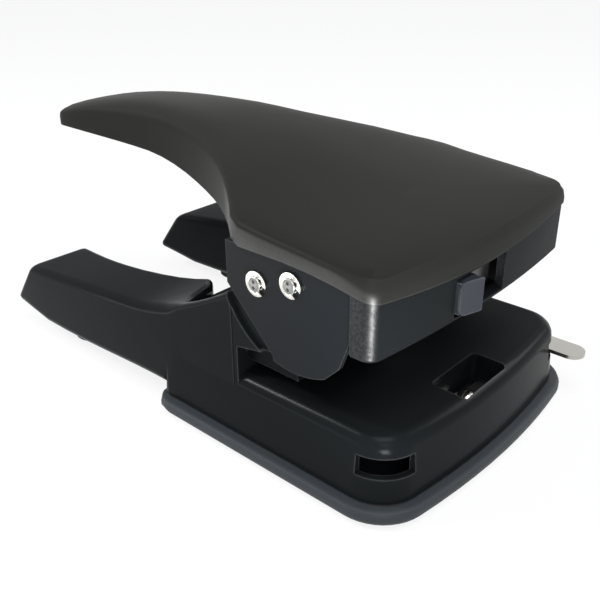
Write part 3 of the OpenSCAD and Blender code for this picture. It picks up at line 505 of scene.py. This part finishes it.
def smooth_group():
    """Geometry nodes that shade smooth except over sharp edges."""
    name = "SmoothByAngle"
    if name in bpy.data.node_groups:
        return bpy.data.node_groups[name]
    group = bpy.data.node_groups.new(name, "GeometryNodeTree")
    group.interface.new_socket("Geometry", in_out="INPUT", socket_type="NodeSocketGeometry")
    group.interface.new_socket("Geometry", in_out="OUTPUT", socket_type="NodeSocketGeometry")
    start, end = group.nodes.new("NodeGroupInput"), group.nodes.new("NodeGroupOutput")
    faces = add(group, "GeometryNodeSetShadeSmooth", domain="FACE")
    edges = add(group, "GeometryNodeSetShadeSmooth", domain="EDGE")
    angle = group.nodes.new("GeometryNodeInputMeshEdgeAngle")
    sharp = add(group, "FunctionNodeCompare", data_type="FLOAT", operation="GREATER_THAN")
    sharp.inputs[1].default_value = SHARP_FROM
    edges.inputs["Shade Smooth"].default_value = False
    group.links.new(start.outputs[0], faces.inputs["Geometry"])
    group.links.new(faces.outputs[0], edges.inputs["Geometry"])
    group.links.new(angle.outputs["Unsigned Angle"], sharp.inputs[0])
    group.links.new(sharp.outputs[0], edges.inputs["Selection"])
    group.links.new(edges.outputs[0], end.inputs[0])
    return group


def finish_node(name, material, edge):
    """Gives a CAD node its finish, and rounded edges and smooth shading as modifiers."""
    node = NODES[name]
    if not node.data.materials:
        node.data.materials.append(None)
    for holder in node.material_slots:
        holder.link = "OBJECT"
        holder.material = material
    soften(node, edge)


def soften(node, edge):
    """Rounds the edges of a piece and shades it smooth."""
    weld = node.modifiers.new("Join", "WELD")
    weld.merge_threshold = WELD_DISTANCE
    if edge > 0.0:
        bevel = node.modifiers.new("RoundEdges", "BEVEL")
        bevel.width = edge
        bevel.segments = BEVEL_SEGMENTS
        bevel.limit_method = "ANGLE"
        bevel.angle_limit = BEVEL_FROM
        bevel.use_clamp_overlap = True
        bevel.miter_outer = "MITER_ARC"
    smooth = node.modifiers.new("Smooth", "NODES")
    smooth.node_group = smooth_group()
    if edge > 0.0:
        flat = node.modifiers.new("FlatFaces", "WEIGHTED_NORMAL")
        flat.keep_sharp = True


def joined(name, first, second):
    """A new piece with the shape of two CAD nodes that touch, and no faces where they meet."""
    bpy.context.view_layer.update()
    halves = [node_copy(NODES[half], f"{name}.half") for half in (first, second)]
    union = halves[0].modifiers.new("Union", "BOOLEAN")
    union.operation, union.solver, union.object = "UNION", "EXACT", halves[1]
    whole = halves[0].evaluated_get(bpy.context.evaluated_depsgraph_get())
    made = plain_object(name, bpy.data.meshes.new_from_object(whole))
    for half in halves:
        bpy.data.objects.remove(half, do_unlink=True)
    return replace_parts(made, first, second)


class PUNCH_OT_base(bpy.types.Operator):
    """Join the base moulding and finish it"""

    bl_idname = "punch.base"
    bl_label = "Base"

    def execute(self, context):
        _, edges, _ = settings()
        moulding = joined("BaseMoulding", "base_housing", "base_fork")
        moulding.data.materials.append(materials()["MouldedBase"])
        soften(moulding, edges.moulded)
        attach(moulding, "base")
        return {"FINISHED"}


class PUNCH_OT_shells(bpy.types.Operator):
    """Finish the moulded pieces of the cover, the tray and the lock"""

    bl_idname = "punch.shells"
    bl_label = "Shells"

    def execute(self, context):
        _, edges, _ = settings()
        kit = materials()
        finish_node("lever_cover", kit["MouldedShell"], 0.0)
        finish_node("front_panel", kit["MouldedPanel"], edges.moulded)
        finish_node("chip_tray", kit["MouldedTray"], edges.moulded)
        finish_node("lock_button", kit["MouldedButton"], edges.moulded)
        finish_node("rear_feet", kit["FootRubber"], edges.moulded)
        return {"FINISHED"}


def window_lip(name):
    """A slim rail inside the front panel, along the lower edge of the lock window."""
    back, low, high, corner = -43.0 * MM, 55.15 * MM, 56.3 * MM, 0.25 * MM
    start, length, steps = -22.0, 35.5, 12
    front_middle, bow = -44.6 * MM, 1.4
    bm = bmesh.new()
    loops = []
    for step in range(steps + 1):
        x = (start + length * step / steps) * MM
        front = front_middle + bow * x * x
        loop = []
        for y, z, turn in ((back, high, 0), (front, high, 90), (front, low, 180), (back, low, 270)):
            middle_y = y + (corner if y == front else -corner)
            middle_z = z + (corner if z == low else -corner)
            for part in (0, 45, 90):
                angle = math.radians(turn + part)
                loop.append(bm.verts.new((x, middle_y + corner * math.cos(angle),
                                          middle_z + corner * math.sin(angle))))
        loops.append(loop)
    count = len(loops[0])
    for first, second in zip(loops, loops[1:]):
        for here in range(count):
            after = (here + 1) % count
            bm.faces.new((first[here], first[after], second[after], second[here]))
    bm.faces.new(loops[0])
    bm.faces.new(loops[-1])
    bmesh.ops.recalc_face_normals(bm, faces=bm.faces)
    return object_from(bm, name)


class PUNCH_OT_window_lip(bpy.types.Operator):
    """Close the lower edge of the lock window"""

    bl_idname = "punch.window_lip"
    bl_label = "Window lip"

    def execute(self, context):
        lip = window_lip("WindowLip")
        lip.data.materials.append(materials()["MouldedPanel"])
        soften(lip, 0.0)
        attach(lip, "lever")
        return {"FINISHED"}


class PUNCH_OT_sheet_metal(bpy.types.Operator):
    """Finish the bracket, the frame and the other sheet-metal pieces"""

    bl_idname = "punch.sheet_metal"
    bl_label = "Sheet metal"

    def execute(self, context):
        _, edges, _ = settings()
        kit = materials()
        finish_node("lever_bracket", kit["PaintedCheek"], edges.pressed)
        # The punch frame is darkened as painted shade under the cheek.
        finish_node("punch_frame", kit["BlackedSteelPaintedShade"], edges.pressed)
        # The lock slide is darkened steel, as painted shade behind the lock window.
        finish_node("lock_slide", kit["PaintedShadeSteel"], edges.pressed)
        finish_node("die_plate", kit["BareSteel"], edges.pressed)
        finish_node("paper_guide", kit["GuideSteel"], edges.turned)
        for name in ("guide_washer", "fulcrum_clips", "drive_clips"):
            finish_node(name, kit["NickelPlate"], edges.turned)
        return {"FINISHED"}


class PUNCH_OT_turned_parts(bpy.types.Operator):
    """Finish the pins, punches, dies and fasteners"""

    bl_idname = "punch.turned_parts"
    bl_label = "Turned parts"

    def execute(self, context):
        _, edges, _ = settings()
        kit = materials()
        for name in ("fulcrum_shaft", "drive_shaft", "punch_left", "punch_right", "die_left",
                     "die_right", "guide_bush_left", "guide_bush_right", "die_screws",
                     "frame_rivets", "lock_rivets"):
            finish_node(name, kit["TurnedSteel"], edges.turned)
        finish_node("guide_stud", kit["NickelPlate"], edges.turned)
        return {"FINISHED"}


class PUNCH_OT_springs(bpy.types.Operator):
    """Make the return springs from the CAD springs, smooth and in turned steel"""

    bl_idname = "punch.springs"
    bl_label = "Springs"

    def execute(self, context):
        context.view_layer.update()
        for side, body in (("left", "punch_l"), ("right", "punch_r")):
            coil = node_copy(NODES[f"spring_{side}"], f"ReturnSpring.{side}")
            for face in coil.data.polygons:
                face.use_smooth = True
            coil.data.materials.append(materials()["TurnedSteel"])
            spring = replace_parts(coil, f"spring_{side}")
            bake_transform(spring)
        return {"FINISHED"}


def dimpled_head(name, radius, side):
    """A low domed pin head with two dimples, which looks along the X axis to one side. The dimples'
    floors take the head's second, darker material as painted shade.
    """
    rings, spokes = 22, 56
    height, dimple, apart = 0.20 * radius, 0.30 * radius, 0.44 * radius
    depth, painted_shade_part = 0.8 * height, 0.8

    def from_dimple(y, z):
        """Distance from the nearer dimple's middle, in radii of the dimple."""
        return math.hypot(y, abs(z) - apart) / dimple

    def point(reach, turn):
        """A point of the head's face, at a distance and an angle from its middle."""
        y, z = reach * math.cos(turn), reach * math.sin(turn)
        lift = height * (1.0 - (reach / radius) ** 4)
        lift -= depth * max(0.0, 1.0 - from_dimple(y, z) ** 2)
        return (side * lift, y, z)

    bm = bmesh.new()
    middle = bm.verts.new(point(0.0, 0.0))
    loops = [[bm.verts.new(point(radius * ring / rings, 2.0 * math.pi * spoke / spokes))
              for spoke in range(spokes)] for ring in range(1, rings + 1)]
    for here in range(spokes):
        after = (here + 1) % spokes
        bm.faces.new((middle, loops[0][here], loops[0][after]))
        for inner, outer in zip(loops, loops[1:]):
            bm.faces.new((inner[here], outer[here], outer[after], inner[after]))
    bm.faces.new(loops[-1])
    bmesh.ops.recalc_face_normals(bm, faces=bm.faces)
    for face in bm.faces:
        centre = face.calc_center_median()
        is_front = len(face.verts) <= 4
        face.smooth = is_front
        # Painted shade: faces near a dimple's middle take the second, darker material.
        face.material_index = int(is_front and from_dimple(centre.y, centre.z) < painted_shade_part)
    return object_from(bm, name)


class PUNCH_OT_pin_heads(bpy.types.Operator):
    """Put a dimpled head on both ends of the lever's pins"""

    bl_idname = "punch.pin_heads"
    bl_label = "Pin heads"

    def execute(self, context):
        kit = materials()
        for pin, body in (("fulcrum_shaft", "base"), ("drive_shaft", "lever")):
            low, high = node_box(pin)
            radius = HEAD_SHARE * (high.z - low.z)
            for side, end, place in ((-1, low.x, "near"), (1, high.x, "far")):
                head = dimpled_head(f"PinHead.{pin}.{place}", radius, side)
                head.data.materials.append(kit["PinSteel"])
                # The second material darkens the dimples as painted shade.
                head.data.materials.append(kit["PaintedShadeSteel"])
                middle = 0.5 * (low + high)
                head.location = (end - side * HEAD_SINK, middle.y, middle.z)
                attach(head, body)
        return {"FINISHED"}


# Stage


def soft_lamp(name, place, aim, size, power, spread):
    """An area lamp that looks at a place and is hidden from the camera."""
    lamp = bpy.data.lights.new(name, "AREA")
    lamp.shape = "RECTANGLE"
    lamp.size, lamp.size_y = size
    lamp.energy = power
    lamp.spread = spread
    made = plain_object(name, lamp)
    made.location = place
    made.rotation_euler = (Vector(aim) - Vector(place)).to_track_quat("-Z", "Y").to_euler()
    made.visible_camera = False


def white_to_eye(tree, shader, white, share):
    """Mixes a white shader into what the camera and clear reflections see, and returns the mix."""
    path = tree.nodes.new("ShaderNodeLightPath")
    seen = add(tree, "ShaderNodeMath", operation="MAXIMUM")
    through = add(tree, "ShaderNodeMath", operation="MAXIMUM")
    part = add(tree, "ShaderNodeMath", operation="MULTIPLY")
    part.inputs[1].default_value = share
    mixed = tree.nodes.new("ShaderNodeMixShader")
    tree.links.new(path.outputs["Is Camera Ray"], seen.inputs[0])
    tree.links.new(path.outputs["Is Glossy Ray"], through.inputs[0])
    tree.links.new(path.outputs["Is Transmission Ray"], through.inputs[1])
    tree.links.new(through.outputs[0], seen.inputs[1])
    tree.links.new(seen.outputs[0], part.inputs[0])
    tree.links.new(part.outputs[0], mixed.inputs["Fac"])
    tree.links.new(shader, mixed.inputs[1])
    tree.links.new(white.outputs[0], mixed.inputs[2])
    return mixed.outputs[0]


def make_floor():
    """A wide pale floor that keeps a soft shadow."""
    bm = bmesh.new()
    bmesh.ops.create_grid(bm, x_segments=FLOOR_CELLS, y_segments=FLOOR_CELLS, size=FLOOR_HALF)
    floor = object_from(bm, "Floor")
    floor.location.z = FLOOR_HEIGHT
    material, tree, shader = new_material("PaleFloor", FLOOR_GREY)
    shader.inputs["Base Color"].default_value = (*FLOOR_GREY, 1.0)
    shader.inputs["Roughness"].default_value = FLOOR_ROUGHNESS
    shader.inputs["Specular IOR Level"].default_value = FLOOR_MIRROR
    white = add(tree, "ShaderNodeEmission", Strength=1.0)
    mixed = white_to_eye(tree, shader.outputs[0], white, FLOOR_WHITE_SHARE)
    tree.links.new(mixed, tree.nodes["Material Output"].inputs["Surface"])
    floor.data.materials.append(material)


def make_sky(level):
    """Plain light from all round, white to the eye."""
    world = bpy.data.worlds.new("StudioSky")
    bpy.context.scene.world = world
    world.use_nodes = True
    tree = world.node_tree
    light = tree.nodes["Background"]
    light.inputs["Color"].default_value = SKY_TINT
    light.inputs["Strength"].default_value = level
    white = add(tree, "ShaderNodeBackground", Color=WHITE, Strength=1.0)
    mixed = white_to_eye(tree, light.outputs[0], white, SKY_WHITE_SHARE)
    tree.links.new(mixed, tree.nodes["World Output"].inputs["Surface"])


def make_camera(stage):
    """The camera of the photograph."""
    lens = bpy.data.cameras.new("PhotoCamera")
    lens.sensor_width = SENSOR_MM
    lens.lens = stage.focal_pixels / PHOTO_PIXELS * SENSOR_MM
    lens.clip_start, lens.clip_end = CAMERA_CLIP
    camera = plain_object("PhotoCamera", lens)
    camera.location = stage.camera_place
    turn = Vector(stage.camera_aim).to_track_quat("-Z", "Y").to_matrix()
    camera.rotation_euler = (turn @ Matrix.Rotation(stage.camera_roll, 3, "Z")).to_euler()
    return camera


class PUNCH_OT_stage(bpy.types.Operator):
    """Set the floor, the lamps and the camera"""

    bl_idname = "punch.stage"
    bl_label = "Stage"

    def execute(self, context):
        _, _, stage = settings()
        make_floor()
        make_sky(stage.sky_level)
        for name, place, aim, size, watts, spread in LAMPS:
            soft_lamp(name, place, aim, size, watts * stage.light_level, spread)
        context.scene.camera = make_camera(stage)
        context.scene.view_settings.view_transform = "Standard"
        return {"FINISHED"}


class PUNCH_PT_panel(bpy.types.Panel):
    """The punch's operators and settings"""

    bl_label = "Two-hole punch"
    bl_idname = "PUNCH_PT_panel"
    bl_space_type = "VIEW_3D"
    bl_region_type = "UI"
    bl_category = "Punch"

    def draw(self, context):
        for operator in OPERATORS:
            self.layout.operator(operator.bl_idname)
        for group in settings():
            box = self.layout.box()
            for name in group.__annotations__:
                box.prop(group, name)


OPERATORS = (PUNCH_OT_stage, PUNCH_OT_base, PUNCH_OT_shells, PUNCH_OT_window_lip,
             PUNCH_OT_sheet_metal, PUNCH_OT_turned_parts, PUNCH_OT_springs, PUNCH_OT_pin_heads)
SETTINGS = {"punch_finish": FinishSettings, "punch_edges": EdgeSettings,
            "punch_stage": StageSettings}


def register():
    """Registers the settings, the operators and the panel."""
    for group in SETTINGS.values():
        bpy.utils.register_class(group)
    for operator in OPERATORS:
        bpy.utils.register_class(operator)
    bpy.utils.register_class(PUNCH_PT_panel)
    for name, group in SETTINGS.items():
        setattr(bpy.types.Scene, name, bpy.props.PointerProperty(type=group))


def unregister():
    """Takes the settings, the operators and the panel away again."""
    for name in SETTINGS:
        delattr(bpy.types.Scene, name)
    bpy.utils.unregister_class(PUNCH_PT_panel)
    for operator in reversed(OPERATORS):
        bpy.utils.unregister_class(operator)
    for group in reversed(list(SETTINGS.values())):
        bpy.utils.unregister_class(group)


def main():
    """Dresses the punch."""
    register()
    bpy.ops.punch.stage()
    bpy.ops.punch.base()
    bpy.ops.punch.shells()
    bpy.ops.punch.window_lip()
    bpy.ops.punch.sheet_metal()
    bpy.ops.punch.turned_parts()
    bpy.ops.punch.springs()
    bpy.ops.punch.pin_heads()


if __name__ == "__main__":
    main()
